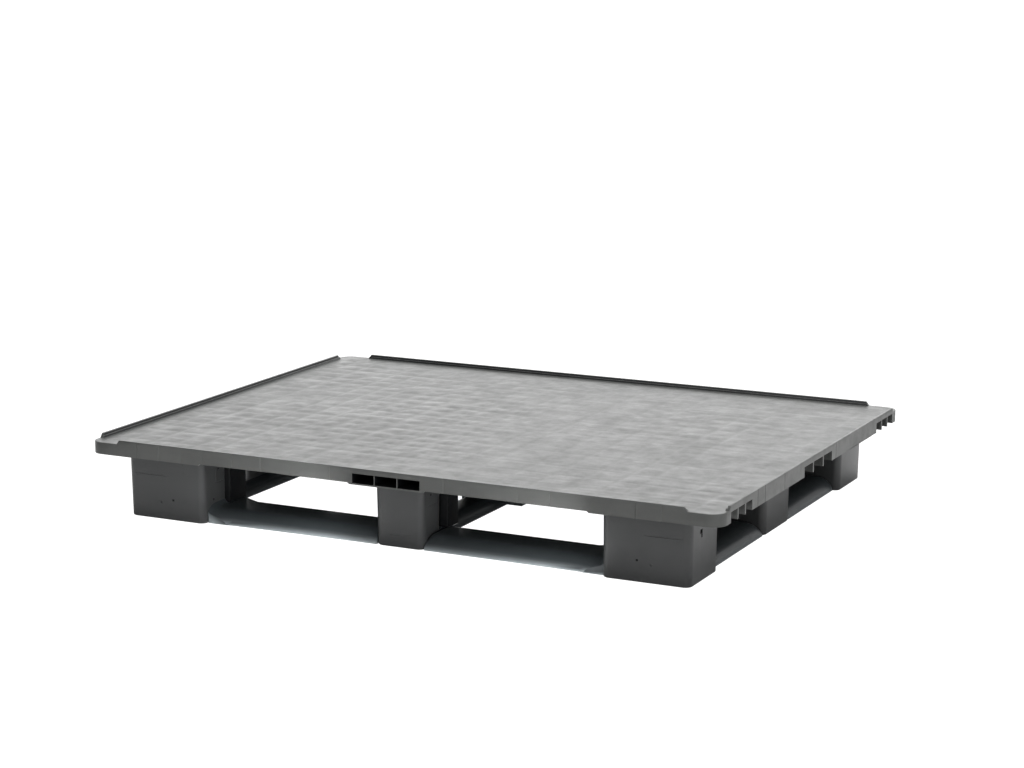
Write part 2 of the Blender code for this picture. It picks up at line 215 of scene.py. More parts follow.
def combine(tree, kind, first, second):
    """One sum or product of a value with another value or with a number."""
    step = tree.nodes.new("ShaderNodeMath")
    step.operation = kind
    tree.links.new(first, step.inputs[0])
    if isinstance(second, float):
        step.inputs[1].default_value = second
    else:
        tree.links.new(second, step.inputs[1])
    return step.outputs["Value"]


def blend(tree, share, first, second):
    """Mix two colours by a share. Each is a node's output or three numbers."""
    mix = tree.nodes.new("ShaderNodeMix")
    mix.data_type = "RGBA"
    tree.links.new(share, mix.inputs["Factor"])
    for socket, colour in (("A", first), ("B", second)):
        if isinstance(colour, tuple):
            mix.inputs[socket].default_value = (*colour, 1.0)
        else:
            tree.links.new(colour, mix.inputs[socket])
    return mix.outputs["Result"]


print("helpers:", clouds.__name__, band.__name__, combine.__name__, blend.__name__)


# %% A plastic finish made of nodes
def plastic(name, dark, light, roughness, flow, grain, rub=0.0, sheen=0.5, highlight_colour=None):
    """A moulded plastic: two tones, a roughness range, and the heights in metres of its relief."""
    finish = bpy.data.materials.new(name)
    finish.use_nodes = True
    tree = finish.node_tree
    shader = tree.nodes["Principled BSDF"]
    shader.inputs["IOR"].default_value = 1.49
    shader.inputs["Specular IOR Level"].default_value = sheen
    place = tree.nodes.new("ShaderNodeTexCoord").outputs["Object"]
    mottle = clouds(tree, place, scale=7.0, detail=5.0, rough=0.6)
    streaks = clouds(tree, place, scale=5.0, detail=5.0, rough=0.6, stretch=(1.0, 8.0, 4.0))
    fine = clouds(tree, place, scale=900.0, detail=2.0, rough=0.5)

    clouded = combine(tree, "MULTIPLY", mottle, 0.55)
    streaked = combine(tree, "MULTIPLY", streaks, 0.45)
    tone = combine(tree, "ADD", clouded, streaked)
    paint = blend(tree, band(tree, tone, 0.38, 0.62, 0.0, 1.0), dark, light)
    # The optional pale colour is a painted highlight on the runners' lower lips, mixed in by a per-vertex
    # attribute.
    if highlight_colour:
        lip_highlight = tree.nodes.new("ShaderNodeAttribute")
        lip_highlight.attribute_name = "lip_highlight"
        highlight_share = combine(tree, "MULTIPLY", lip_highlight.outputs["Fac"], band(tree, mottle, 0.3, 0.6, 0.94, 1.0))
        paint = blend(tree, highlight_share, paint, highlight_colour)
    tree.links.new(paint, shader.inputs["Base Color"])

    patches = clouds(tree, place, scale=24.0, detail=4.0, rough=0.7)
    shine = band(tree, patches, 0.35, 0.65, roughness[1], roughness[0])
    shine = combine(tree, "ADD", shine, band(tree, fine, 0.3, 0.7, -0.02, 0.02))
    tree.links.new(shine, shader.inputs["Roughness"])

    ripples = combine(tree, "MULTIPLY", streaks, flow)
    grains = combine(tree, "MULTIPLY", fine, grain)
    height = combine(tree, "ADD", ripples, grains)
    if rub:
        dents = clouds(tree, place, scale=60.0, detail=3.0, rough=0.6)
        height = combine(tree, "ADD", height, combine(tree, "MULTIPLY", dents, rub))
    bump = tree.nodes.new("ShaderNodeBump")
    bump.inputs["Strength"].default_value = 1.0
    bump.inputs["Distance"].default_value = 1.0
    tree.links.new(height, bump.inputs["Height"])
    tree.links.new(bump.outputs["Normal"], shader.inputs["Normal"])
    return finish


print("finish maker:", plastic.__name__)

# %% The five finishes
deck_finish = plastic("deck_grey", (0.076, 0.079, 0.076), (0.102, 0.105, 0.101), roughness=(0.30, 0.42),
                      flow=0.00022, grain=0.000003, rub=0.00003)
# The rim's darker grey is painted shade on its inner faces.
rim_painted_shade_finish = plastic("rim_painted_shade", (0.026, 0.027, 0.028), (0.034, 0.035, 0.036), roughness=(0.35, 0.45),
                     flow=0.0001, grain=0.000003)
foot_finish = plastic("foot_grey", (0.054, 0.056, 0.057), (0.064, 0.066, 0.067), roughness=(0.29, 0.33),
                      flow=0.00001, grain=0.0)
# Near-black painted shade: it colours the posts, which stand in the dark under the deck, and the insides of
# windows, pins and slots.
shade_black_finish = plastic("painted_shade_black", (0.005, 0.0055, 0.006), (0.007, 0.008, 0.009), roughness=(0.5, 0.6),
                      flow=0.00003, grain=0.000002, sheen=0.3)
# The runners' pale second colour is a painted highlight for their lower lips.
runner_finish = plastic("runner_black", (0.040, 0.046, 0.050), (0.044, 0.051, 0.055), roughness=(0.29, 0.33),
                        flow=0.000008, grain=0.000001, highlight_colour=(0.46, 0.51, 0.53))
print("finishes:", [m.name for m in bpy.data.materials])


# %% [markdown]
# ## Small tools for mouldings
# A moulding is a closed mesh. A few operators are enough for all of them: a flat plate with round
# corners is drawn out into a block, `cut` scores chosen faces along straight lines, and `sink`
# pushes rectangles of a flat face inwards to make the hollows that keep a moulding's walls thin.
# Boolean modifiers could sink the hollows too, but scoring and pushing keeps every face clean, and
# the mesh stays closed, which `show` checks by counting open edges.

# %% Cutting and sinking
LEFT_RIGHT, FRONT_BACK, UP = 0, 1, 2


def cut(bm, axis, places, where):
    """Score the faces that `where` accepts along planes across one axis."""
    normal = Vector([1.0 if i == axis else 0.0 for i in range(3)])
    for place in places:
        faces = [f for f in bm.faces if where(f)]
        edges = {e for f in faces for e in f.edges}
        verts = {v for f in faces for v in f.verts}
        bmesh.ops.bisect_plane(bm, geom=faces + list(edges) + list(verts), dist=1e-6,
                               plane_co=normal * place, plane_no=normal)


def facing(axis, sign, level=None):
    """A test for flat faces that look along one axis, at one level."""
    def test(face):
        if face.normal[axis] * sign < 0.9:
            return False
        return level is None or abs(face.calc_center_median()[axis] - level) < 2e-4
    return test


def inside(face, limits):
    """Whether a face's middle lies within limits given for each axis."""
    middle = face.calc_center_median()
    return all(low < middle[axis] < high for axis, (low, high) in limits.items())


def push(bm, faces, rise):
    """Extrude faces of a closed body upwards, and take away the faces that they leave behind."""
    grown = bmesh.ops.extrude_face_region(bm, geom=faces)["geom"]
    bmesh.ops.delete(bm, geom=faces, context="FACES")
    moved = [v for v in grown if isinstance(v, bmesh.types.BMVert)]
    bmesh.ops.translate(bm, verts=moved, vec=(0.0, 0.0, rise))
    return moved


def sink(bm, sign, level, rooms, depth):
    """Push rectangles (x range, y range) of a level face in by a depth; returns the moved corners."""
    flat = facing(UP, sign, level)
    cut(bm, LEFT_RIGHT, sorted({x for xs, ys in rooms for x in xs}), flat)
    cut(bm, FRONT_BACK, sorted({y for xs, ys in rooms for y in ys}), flat)
    chosen = [f for f in bm.faces if flat(f) and any(inside(f, {0: xs, 1: ys}) for xs, ys in rooms)]
    return push(bm, chosen, -sign * depth)


print("tools:", cut.__name__, facing.__name__, inside.__name__, push.__name__, sink.__name__)


# %% Blocks with round corners
def plate(bm, x_range, y_range, radius, segments=6):
    """A flat plate at z 0 with round corners, drawn from one square."""
    made = bmesh.ops.create_grid(bm, x_segments=1, y_segments=1, size=0.5)["verts"]
    bmesh.ops.scale(bm, verts=made, vec=(x_range[1] - x_range[0], y_range[1] - y_range[0], 1.0))
    bmesh.ops.translate(bm, verts=made, vec=(sum(x_range) / 2, sum(y_range) / 2, 0.0))
    bmesh.ops.bevel(bm, geom=made, affect="VERTICES", offset=radius, segments=segments, profile=0.5,
                    material=-1)


def draw_out(bm, low, high):
    """Turn flat faces at z 0 into a closed block from low to high."""
    bmesh.ops.translate(bm, verts=bm.verts, vec=(0.0, 0.0, high))
    grown = bmesh.ops.extrude_face_region(bm, geom=bm.faces[:])["geom"]
    moved = [v for v in grown if isinstance(v, bmesh.types.BMVert)]
    bmesh.ops.translate(bm, verts=moved, vec=(0.0, 0.0, low - high))
    bmesh.ops.recalc_face_normals(bm, faces=bm.faces)


def soften(bm, edges, width, segments=2):
    """Round some edges off."""
    bmesh.ops.bevel(bm, geom=edges, affect="EDGES", offset=width, segments=segments, profile=0.5,
                    material=-1, clamp_overlap=True)


def show(bm, name, finish, slot, nodes, smooth=35.0, more=()):
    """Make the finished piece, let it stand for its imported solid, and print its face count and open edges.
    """
    loose = [e for e in bm.edges if len(e.link_faces) != 2]
    mesh = bpy.data.meshes.new(name)
    bm.to_mesh(mesh)
    bm.free()
    mesh.shade_smooth()
    mesh.set_sharp_from_angle(angle=math.radians(smooth))
    for coat in (finish, *more):
        mesh.materials.append(coat)
    piece = bpy.data.objects.new(name, mesh)
    bpy.context.scene.collection.objects.link(piece)
    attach(piece, "root")
    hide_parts(*nodes)
    print(name, len(mesh.polygons), "faces, open edges:", len(loose))


print("tools:", plate.__name__, draw_out.__name__, soften.__name__, show.__name__)

# %% [markdown]
# ## The deck
# The deck is one moulding: a skin 3.5 mm thick with a rim on its edge, a grid of ribs below and an
# apron round them. The rim keeps a load from sliding off, and it stops short of the corners, with
# slanted ends. Skin, rim and ribs could be made apart and laid together, but then they would only
# touch. Drawn out from one rounded plate, they stay one closed body, as in the mould: two insets
# make the rim and its ledge, and the rest is cut and sunk afterwards.

# %% Deck sizes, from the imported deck
deck_low, deck_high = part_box("top_deck")
half_x, half_y = deck_high.x, deck_high.y
rim_height = 0.008
deck_top = deck_high.z - rim_height
apron_bottom = deck_low.z
apron_wall = 0.005
rim_width, ledge_width, ledge_height = 0.005, 0.0028, 0.0038
rim_end_x, rim_end_y, rim_slant = 0.587, 0.463, 0.006
corner_round = 0.028
skin, rib = 0.0035, 0.003
ribs_x = (0.0235, 0.070, 0.118, 0.202, 0.265, 0.328, 0.393, 0.441, 0.540, 0.592)
ribs_y = (0.028, 0.080, 0.184, 0.286, 0.349, 0.385, 0.421, 0.457)
print("deck top at", round(deck_top, 4), "apron bottom at", round(apron_bottom, 4))


def cells(ribs, reach):
    """The clear stretches between ribs on both sides of the middle, out to a wall."""
    marks = sorted([-r for r in ribs] + list(ribs))
    lows = [-reach] + [m + rib / 2 for m in marks]
    highs = [m - rib / 2 for m in marks] + [reach]
    return list(zip(lows, highs))


# %% Plate, apron and rim
deck = bmesh.new()
plate(deck, (-half_x, half_x), (-half_y, half_y), corner_round, segments=8)
draw_out(deck, apron_bottom, deck_top)
cut(deck, LEFT_RIGHT, (-rim_end_x, rim_end_x), lambda f: True)
cut(deck, FRONT_BACK, (-rim_end_y, rim_end_y), lambda f: True)
on_top = facing(UP, 1, deck_top)
top_faces = [f for f in deck.faces if on_top(f)]
rim_ring = bmesh.ops.inset_region(deck, faces=top_faces, thickness=rim_width, use_even_offset=True)["faces"]
top_faces = [f for f in deck.faces if on_top(f) and f not in rim_ring]
ledge_ring = bmesh.ops.inset_region(deck, faces=top_faces, thickness=ledge_width,
                                    use_even_offset=True)["faces"]


def on_rim(face):
    """The rim runs along all four sides, but not round the corners."""
    middle = face.calc_center_median()
    long_side = abs(middle.x) < rim_end_x and abs(middle.y) > rim_end_y
    short_side = abs(middle.y) < rim_end_y and abs(middle.x) > rim_end_x
    return long_side or short_side


push(deck, [f for f in rim_ring + ledge_ring if on_rim(f)], ledge_height)
ledge_top = facing(UP, 1, deck_top + ledge_height)
within_rim = {LEFT_RIGHT: (rim_width - half_x, half_x - rim_width),
              FRONT_BACK: (rim_width - half_y, half_y - rim_width)}
outer_ring = [f for f in deck.faces if ledge_top(f) and not inside(f, within_rim)]
push(deck, outer_ring, rim_height - ledge_height)
for vert in deck.verts:
    lift = (vert.co.z - deck_top) / rim_height
    if lift > 0.01:
        if abs(abs(vert.co.x) - rim_end_x) < 1e-4:
            vert.co.x -= math.copysign(rim_slant * lift, vert.co.x)
        elif abs(abs(vert.co.y) - rim_end_y) < 1e-4:
            vert.co.y -= math.copysign(rim_slant * lift, vert.co.y)
bmesh.ops.recalc_face_normals(deck, faces=deck.faces)
print("deck with rim:", len(deck.faces), "faces")


# %% Soft edges on the rim and the corners
def sharp_edges(bm, least=30.0):
    """Edges that stick out and turn by more than some degrees."""
    found = []
    for edge in bm.edges:
        if len(edge.link_faces) == 2 and edge.is_convex and edge.calc_face_angle() > math.radians(least):
            found.append(edge)
    return found


def middle_of(edge):
    """The point halfway along an edge."""
    return (edge.verts[0].co + edge.verts[1].co) / 2


# The second dark coat paints the windows' insides near-black, as painted shade.
RIM_SHADE_COAT, WINDOW_SHADE_COAT = 1, 2
rim_round = 0.0007
# Paint shade on the rim's inner faces: they take the darker rim coat.
for face in deck.faces:
    middle = face.calc_center_median()
    inner_side = abs(middle.x) < half_x - 1e-4 and abs(middle.y) < half_y - 1e-4
    if middle.z > deck_top + 1e-4 and abs(face.normal.z) < 0.5 and inner_side:
        face.material_index = RIM_SHADE_COAT
rim_edges = [e for e in sharp_edges(deck) if middle_of(e).z > deck_top - 1e-4]
soften(deck, rim_edges, rim_round)
print("softened rim edges:", len(rim_edges))

# %% [markdown]
# ## Ribs, windows and notches
# Ribs make a thin deck stiff. The hollows between them are sunk from below in one go, which leaves
# the ribs standing. Over the middle foot of each long side, three windows go into the apron, and
# each short side has nine notches that are open below. A window has a back, so it is pushed in
# from outside, and a notch goes right through, so it is bridged from the outer to the inner wall.
# The apron's bottom edge is a little higher between the feet than at them, and thin grooves on it
# mark where the mould's inserts meet.

# %% Ribs and apron
bottom = facing(UP, -1, apron_bottom)
reach_x, reach_y = half_x - apron_wall, half_y - apron_wall
solid_x, solid_y = half_x - corner_round, half_y - corner_round
tunnel_end = 0.349
rooms = []
for xs in cells(ribs_x, reach_x):
    for ys in cells(ribs_y, reach_y):
        at_corner = max(map(abs, xs)) > solid_x and max(map(abs, ys)) > solid_y
        at_window = max(map(abs, xs)) < ribs_x[1] and min(map(abs, ys)) > tunnel_end
        if not (at_corner or at_window):
            rooms.append((xs, ys))
sink(deck, -1, apron_bottom, rooms, deck_top - skin - apron_bottom)
print("hollows under the deck:", len(rooms))


# %% Tools for windows and notches
def straddles(face, axis, place):
    """Whether a face lies on both sides of a place on one axis."""
    places = [v.co[axis] for v in face.verts]
    return min(places) < place < max(places)


def tunnel(bm, sign, span, heights, depth):
    """Push a window in from the front or back of the apron."""
    flat = facing(FRONT_BACK, sign, sign * half_y)

    def near(face):
        return flat(face) and straddles(face, LEFT_RIGHT, sum(span) / 2)

    cut(bm, LEFT_RIGHT, span, near)
    cut(bm, UP, heights, near)
    chosen = [f for f in bm.faces if flat(f) and inside(f, {LEFT_RIGHT: span, UP: heights})]
    moved = push(bm, chosen, 0.0)
    bmesh.ops.translate(bm, verts=moved, vec=(0.0, -sign * depth, 0.0))
    # Paint the window's inside near-black, as painted shade.
    for face in {f for v in moved for f in v.link_faces}:
        face.material_index = WINDOW_SHADE_COAT


def open_notch(bm, axis, outer, span, top):
    """Open a rectangle through the apron, from its bottom edge up."""
    sign = math.copysign(1.0, outer)
    inner = outer - sign * apron_wall
    along = FRONT_BACK if axis == LEFT_RIGHT else LEFT_RIGHT
    heights = (apron_bottom - 0.001, top)
    rims = []
    for level, look in ((outer, sign), (inner, -sign)):
        flat = facing(axis, look, level)

        def near(face):
            return flat(face) and straddles(face, along, sum(span) / 2)

        cut(bm, along, span, near)
        cut(bm, UP, (top,), near)
        rims.append([f for f in bm.faces if flat(f) and inside(f, {along: span, UP: heights})])
    edges = []
    for faces in rims:
        edges += [e for f in faces for e in f.edges if sum(g in faces for g in e.link_faces) == 1]

    def below(face):
        return bottom(face) and abs(face.calc_center_median()[axis]) > abs(inner)

    cut(bm, along, span, below)
    lip = [f for f in bm.faces if below(f) and inside(f, {along: span})]
    edges = [e for e in edges if e.is_valid and not any(f in lip for f in e.link_faces)]
    bmesh.ops.delete(bm, geom=rims[0] + rims[1] + lip, context="FACES")
    bmesh.ops.bridge_loops(bm, edges=list({e for e in edges if e.is_valid}))


print("tools:", straddles.__name__, tunnel.__name__, open_notch.__name__)


# %% Windows are blind tunnels, and notches are open below
window_bottom, window_top, notch_top = 0.1258, 0.1440, 0.1425
tunnel_back = 0.006
window_spans = ((-0.0695, -0.0245), (-0.0225, 0.0225), (0.0245, 0.0695))
notch_spans = [(-0.0775, -0.0305), (-0.0255, 0.0255), (0.0305, 0.0775)]
for low, high in ((0.3515, 0.3825), (0.3875, 0.4185), (0.4235, 0.4545)):
    notch_spans += [(low, high), (-high, -low)]
for sign in (-1, 1):
    for span in window_spans:
        tunnel(deck, sign, span, (window_bottom, window_top), half_y - tunnel_end - tunnel_back)
    for span in notch_spans:
        open_notch(deck, LEFT_RIGHT, sign * half_x, span, notch_top)
print("deck after openings:", len(deck.faces), "faces, open edges:",
      len([e for e in deck.edges if len(e.link_faces) != 2]))

# %% Mould lines on the apron
groove_half, groove_depth = 0.0010, 0.0008
long_side_lines = (0.118, 0.154, 0.202, 0.265, 0.328, 0.393, 0.441, 0.491, 0.540)
short_side_lines = (0.102, 0.184, 0.286, 0.323)


def groove(bm, axis, level, mark):
    """Score one upright line on the apron and press its middle in."""
    across = FRONT_BACK if axis == LEFT_RIGHT else LEFT_RIGHT

    def wall(face):
        outside = abs(face.calc_center_median()[across]) > level - 0.0012
        return abs(face.normal[across]) > 0.2 and outside and straddles(face, axis, mark)

    cut(bm, axis, (mark - groove_half, mark, mark + groove_half), wall)
    for vert in bm.verts:
        if abs(vert.co[axis] - mark) < 1e-5 and abs(vert.co[across]) > level - 0.0005:
            vert.co[across] -= math.copysign(groove_depth, vert.co[across])


for axis, level, lines in ((LEFT_RIGHT, half_y, long_side_lines), (FRONT_BACK, half_x, short_side_lines)):
    for mark in sorted([-m for m in lines] + list(lines)):
        groove(deck, axis, level, mark)
print("deck with mould lines:", len(deck.faces), "faces")

# %% The apron is shallower between the feet
raised_edge, slope_length = 0.003, 0.004
raised_from, raised_to = 0.076, 0.403
marks = (raised_from, raised_from + slope_length, raised_to - slope_length, raised_to)


def on_apron(face):
    """The lower faces of the long sides' apron, inside and outside."""
    middle = face.calc_center_median()
    return middle.z < deck_top - 0.004 and abs(middle.y) > reach_y - 1e-4


cut(deck, LEFT_RIGHT, sorted([-m for m in marks] + list(marks)), on_apron)
for vert in deck.verts:
    if vert.co.z < apron_bottom + 1e-4 and abs(vert.co.y) > reach_y - 1e-4:
        share = min(abs(vert.co.x) - raised_from, raised_to - abs(vert.co.x)) / slope_length
        vert.co.z += raised_edge * max(0.0, min(1.0, share))
print("apron edge raised by", raised_edge, "from", raised_from, "to", raised_to)

# %% [markdown]
# ## The deck's surface
# Thick plastic shrinks as it cools, so the skin sinks a little over each rib and swells between
# them. A bump in the finish could fake this, but the light grazes the deck and would give the flat
# mesh away. So a real grid of faces takes the shape, with slow waves and small dents on top, and it
# is joined to the flat edge round it, where the waves fade out. The swelling is strong in some
# zones and faint in others, as the melt cools unevenly.

# %% Waves and sink marks
panel_x, panel_y, panel_gap, step = 0.634, 0.484, 0.002, 0.0039
cut(deck, LEFT_RIGHT, (-panel_x, panel_x), on_top)
cut(deck, FRONT_BACK, (-panel_y, panel_y), on_top)
panel_limits = {LEFT_RIGHT: (-panel_x, panel_x), FRONT_BACK: (-panel_y, panel_y)}
panel = [f for f in deck.faces if on_top(f) and inside(f, panel_limits)]
hole = [e for f in panel for e in f.edges if sum(g in panel for g in e.link_faces) == 1]
bmesh.ops.delete(deck, geom=panel, context="FACES")
inner_x, inner_y = panel_x - panel_gap, panel_y - panel_gap
sheet = bmesh.ops.create_grid(deck, x_segments=round(2 * inner_x / step),
                              y_segments=round(2 * inner_y / step), size=1.0,
                              matrix=Matrix.Diagonal((inner_x, inner_y, 1.0, 1.0)))["verts"]
rim_of_sheet = [e for e in {e for v in sheet for e in v.link_edges} if len(e.link_faces) == 1]


def near_rib(value, ribs, width):
    """One on a rib's line, and soon nothing beside it."""
    gap = min(abs(abs(value) - r) for r in ribs)
    return math.exp(-(gap / width) ** 2)


pillow_x, pillow_y, pillow_height, highest = 0.049, 0.044, 0.0013, 0.0016
sink_width, sink_depth, fade_width = 0.0045, 0.00040, 0.02
sink_x = {round(v.co.x, 5): near_rib(v.co.x, ribs_x, sink_width) for v in sheet}
sink_y = {round(v.co.y, 5): near_rib(v.co.y, ribs_y, sink_width) for v in sheet}
dome_x = {key: abs(math.sin(math.pi * key / pillow_x)) for key in sink_x}
dome_y = {key: abs(math.sin(math.pi * key / pillow_y)) for key in sink_y}
for vert in sheet:
    x, y = vert.co.x, vert.co.y
    kx, ky = round(x, 5), round(y, 5)
    fade_out = min(1.0, (inner_x - abs(x)) / fade_width, (inner_y - abs(y)) / fade_width)
    zone = 0.42 + 1.5 * noise.noise(Vector((x * 2.4 + 3.0, y * 2.4, 7.0))) - 0.55 * x + 0.25 * y
    zone = 0.12 + 0.88 * max(0.0, min(1.0, zone))
    shape = pillow_height * zone * dome_x[kx] * dome_y[ky]
    shape -= sink_depth * max(sink_x[kx], 0.6 * sink_y[ky])
    shape += 0.00028 * noise.noise(Vector((x * 8.0, y * 20.0, 1.0)))
    shape += 0.00012 * noise.noise(Vector((x * 22.0, y * 60.0, 2.0)))
    vert.co.z = deck_top + min(highest, shape) * fade_out
bmesh.ops.triangle_fill(deck, use_beauty=True, use_dissolve=False, edges=hole + rim_of_sheet)
bmesh.ops.recalc_face_normals(deck, faces=deck.faces)
show(deck, "deck_moulding", deck_finish, "deck_plastic", ["top_deck"], smooth=28.0,
     more=(rim_painted_shade_finish, shade_black_finish))

# %% [markdown]
# ## The feet
# Each outer foot is a shell that stands on the floor, open below, with ribs inside. It has round
# corners and a slight draft, so that it leaves the mould. A plain box would fill the corner where
# the post stands, so a corner shell is L-shaped in plan: its outline is a small grid with one
# quarter taken away, drawn out and hollowed. All four are the same moulding in mirrored places.
# Pins, slots and lines of the mould are pressed into the walls; the slots and most pins are painted
# near-black, as painted shade.

# %% Foot sizes, from the imported shells
corner_low, corner_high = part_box("back_right_foot")
foot_top = corner_high.z
shell_wall, shell_roof, foot_round, draft = 0.004, 0.006, 0.014, 0.002
shell_depth, bottom_round = 0.0745, 0.0025
# Coat 1 paints pin marks and slots near-black, as painted shade in these hollows.
PLAIN_COAT, RECESS_SHADE_COAT = 0, 1
pin_half, pin_depth = 0.002, 0.0014
line_depth, slot_depth, slot_slope = 0.0006, 0.003, 0.001
corner_out_x, corner_out_y = corner_high.x - draft, corner_high.y - draft
corner_in_x, corner_in_y = corner_low.x, corner_low.y
print("corner foot:", round(corner_out_x - corner_in_x, 4), "x", round(corner_out_y - corner_in_y, 4))


def lean(bm, middle, height):
    """Draft: the outer sides stand out a little more towards the top."""
    for vert in bm.verts:
        share = vert.co.z / height
        if abs(vert.co.x) > abs(middle[0]) + 1e-4:
            vert.co.x += math.copysign(draft * share, vert.co.x)
        if abs(vert.co.y) > abs(middle[1]) + 1e-4:
            vert.co.y += math.copysign(draft * share, vert.co.y)


def split(low, high, count):
    """The hollows between the ribs of a shell, each as a range."""
    pitch = (high - low - shell_wall) / count
    return [(low + shell_wall + pitch * i, low + pitch * (i + 1)) for i in range(count)]


def round_bottom(bm, width):
    """Round the outline where a foot meets the floor."""
    edges = [e for e in sharp_edges(bm) if all(v.co.z < 1e-5 for v in e.verts)]
    soften(bm, edges, width, 4)


def recess(bm, axis, sign, level, span, heights, depth, slope=0.0005, coat=PLAIN_COAT):
    """A pressed mark, line or slot with sloping sides on an upright wall. A given coat is painted on it, the
    black one as painted shade.
    """
    along = FRONT_BACK if axis == LEFT_RIGHT else LEFT_RIGHT
    span, heights = sorted(span), sorted(heights)
    flat = facing(axis, sign, level)

    def near(face):
        alongs = [v.co[along] for v in face.verts]
        ups = [v.co[UP] for v in face.verts]
        beside = min(alongs) > span[1] or max(alongs) < span[0]
        beyond = min(ups) > heights[1] or max(ups) < heights[0]
        return flat(face) and not beside and not beyond

    cut(bm, along, span, near)
    cut(bm, UP, heights, near)
    chosen = [f for f in bm.faces if flat(f) and inside(f, {along: span, UP: heights})]
    bmesh.ops.inset_region(bm, faces=chosen, thickness=slope, use_even_offset=True)
    move = [0.0, 0.0, 0.0]
    move[axis] = -sign * depth
    bmesh.ops.translate(bm, verts=list({v for f in chosen for v in f.verts}), vec=move)
    for face in {g for f in chosen for v in f.verts for g in v.link_faces} if coat else ():
        face.material_index = coat


def dot(bm, axis, sign, level, place, coat=RECESS_SHADE_COAT):
    """A small pin mark, 4 mm wide, painted near-black as painted shade unless the plain coat is given."""
    span = (place[0] - pin_half, place[0] + pin_half)
    heights = (place[1] - pin_half, place[1] + pin_half)
    recess(bm, axis, sign, level, span, heights, pin_depth, slope=0.0006, coat=coat)


print("feet tools:", lean.__name__, split.__name__, round_bottom.__name__, recess.__name__, dot.__name__)

# %% Corner shells
notch_x, notch_y = corner_out_x - shell_depth, corner_out_y - shell_depth


def corner_shell(side_x, side_y):
    """An L-shaped shell, made at the back right and mirrored to its place."""
    bm = bmesh.new()
    bmesh.ops.create_grid(bm, x_segments=2, y_segments=2, size=1.0)
    xs, ys = {-1: corner_in_x, 0: notch_x, 1: corner_out_x}, {-1: corner_in_y, 0: notch_y, 1: corner_out_y}
    for vert in bm.verts:
        vert.co = (xs[round(vert.co.x)], ys[round(vert.co.y)], 0.0)
    quarter = [f for f in bm.faces if inside(f, {0: (0.0, notch_x), 1: (0.0, notch_y)})]
    bmesh.ops.delete(bm, geom=quarter, context="FACES")
    bmesh.ops.dissolve_faces(bm, faces=bm.faces[:], use_verts=True)
    outer = [(corner_out_x, corner_out_y), (corner_in_x, corner_out_y), (corner_out_x, corner_in_y)]
    round_verts = [v for v in bm.verts if any((v.co.xy - Vector(p)).length < 1e-5 for p in outer)]
    bmesh.ops.bevel(bm, geom=round_verts, affect="VERTICES", offset=foot_round, segments=7, profile=0.5,
                    material=-1)
    draw_out(bm, 0.0, foot_top)
    round_bottom(bm, bottom_round)
    wing_x = (notch_x + shell_wall, corner_out_x - shell_wall)
    wing_y = (notch_y + shell_wall, corner_out_y - shell_wall)
    hollows = [(x_range, wing_y) for x_range in split(corner_in_x, notch_x + shell_wall, 2)]
    hollows += [(wing_x, wing_y), (wing_x, (corner_in_y + shell_wall, notch_y))]
    sink(bm, -1, 0.0, hollows, foot_top - shell_roof)
    bmesh.ops.scale(bm, verts=bm.verts, vec=(side_x, side_y, 1.0))
    bmesh.ops.recalc_face_normals(bm, faces=bm.faces)
    return bm


def mark_corner_shell(bm, side_x, side_y):
    """Press the pins, lines and slots into a corner shell's three visible walls, the slots and most pins
    painted near-black as painted shade.
    """
    inner = (bm, LEFT_RIGHT, -side_x, side_x * corner_in_x)
    dot(*inner, (side_y * 0.4125, 0.098))
    dot(*inner, (side_y * 0.4306, 0.042))
    recess(*inner, (side_y * 0.4208, side_y * 0.4222), (0.0745, 0.097), 0.0007)
    recess(*inner, (side_y * 0.3945, side_y * 0.4222), (0.0722, 0.0736), 0.0007)
    outer = (bm, LEFT_RIGHT, side_x, side_x * corner_out_x)
    for end, heights in ((0.4235, (0.0885, 0.0965)), (0.4180, (0.0810, 0.0883))):
        span = (side_y * 0.4125, side_y * end)
        recess(*outer, span, heights, slot_depth, slope=slot_slope, coat=RECESS_SHADE_COAT)
    front = (bm, FRONT_BACK, side_y, side_y * corner_out_y)
    dot(*front, (side_x * 0.4815, 0.040))
    dot(*front, (side_x * 0.5080, 0.034), coat=PLAIN_COAT)
    recess(*front, (side_x * 0.496, side_x * 0.566), (0.0855, 0.0867), line_depth)


for side_x, column in ((-1, "left"), (1, "right")):
    for side_y, row in ((-1, "front"), (1, "back")):
        shell = corner_shell(side_x, side_y)
        mark_corner_shell(shell, side_x, side_y)
        lean(shell, (notch_x, notch_y), foot_top)
        show(shell, f"{row}_{column}_foot_shell", foot_finish, "foot_plastic", [f"{row}_{column}_foot"],
             more=(shade_black_finish,))


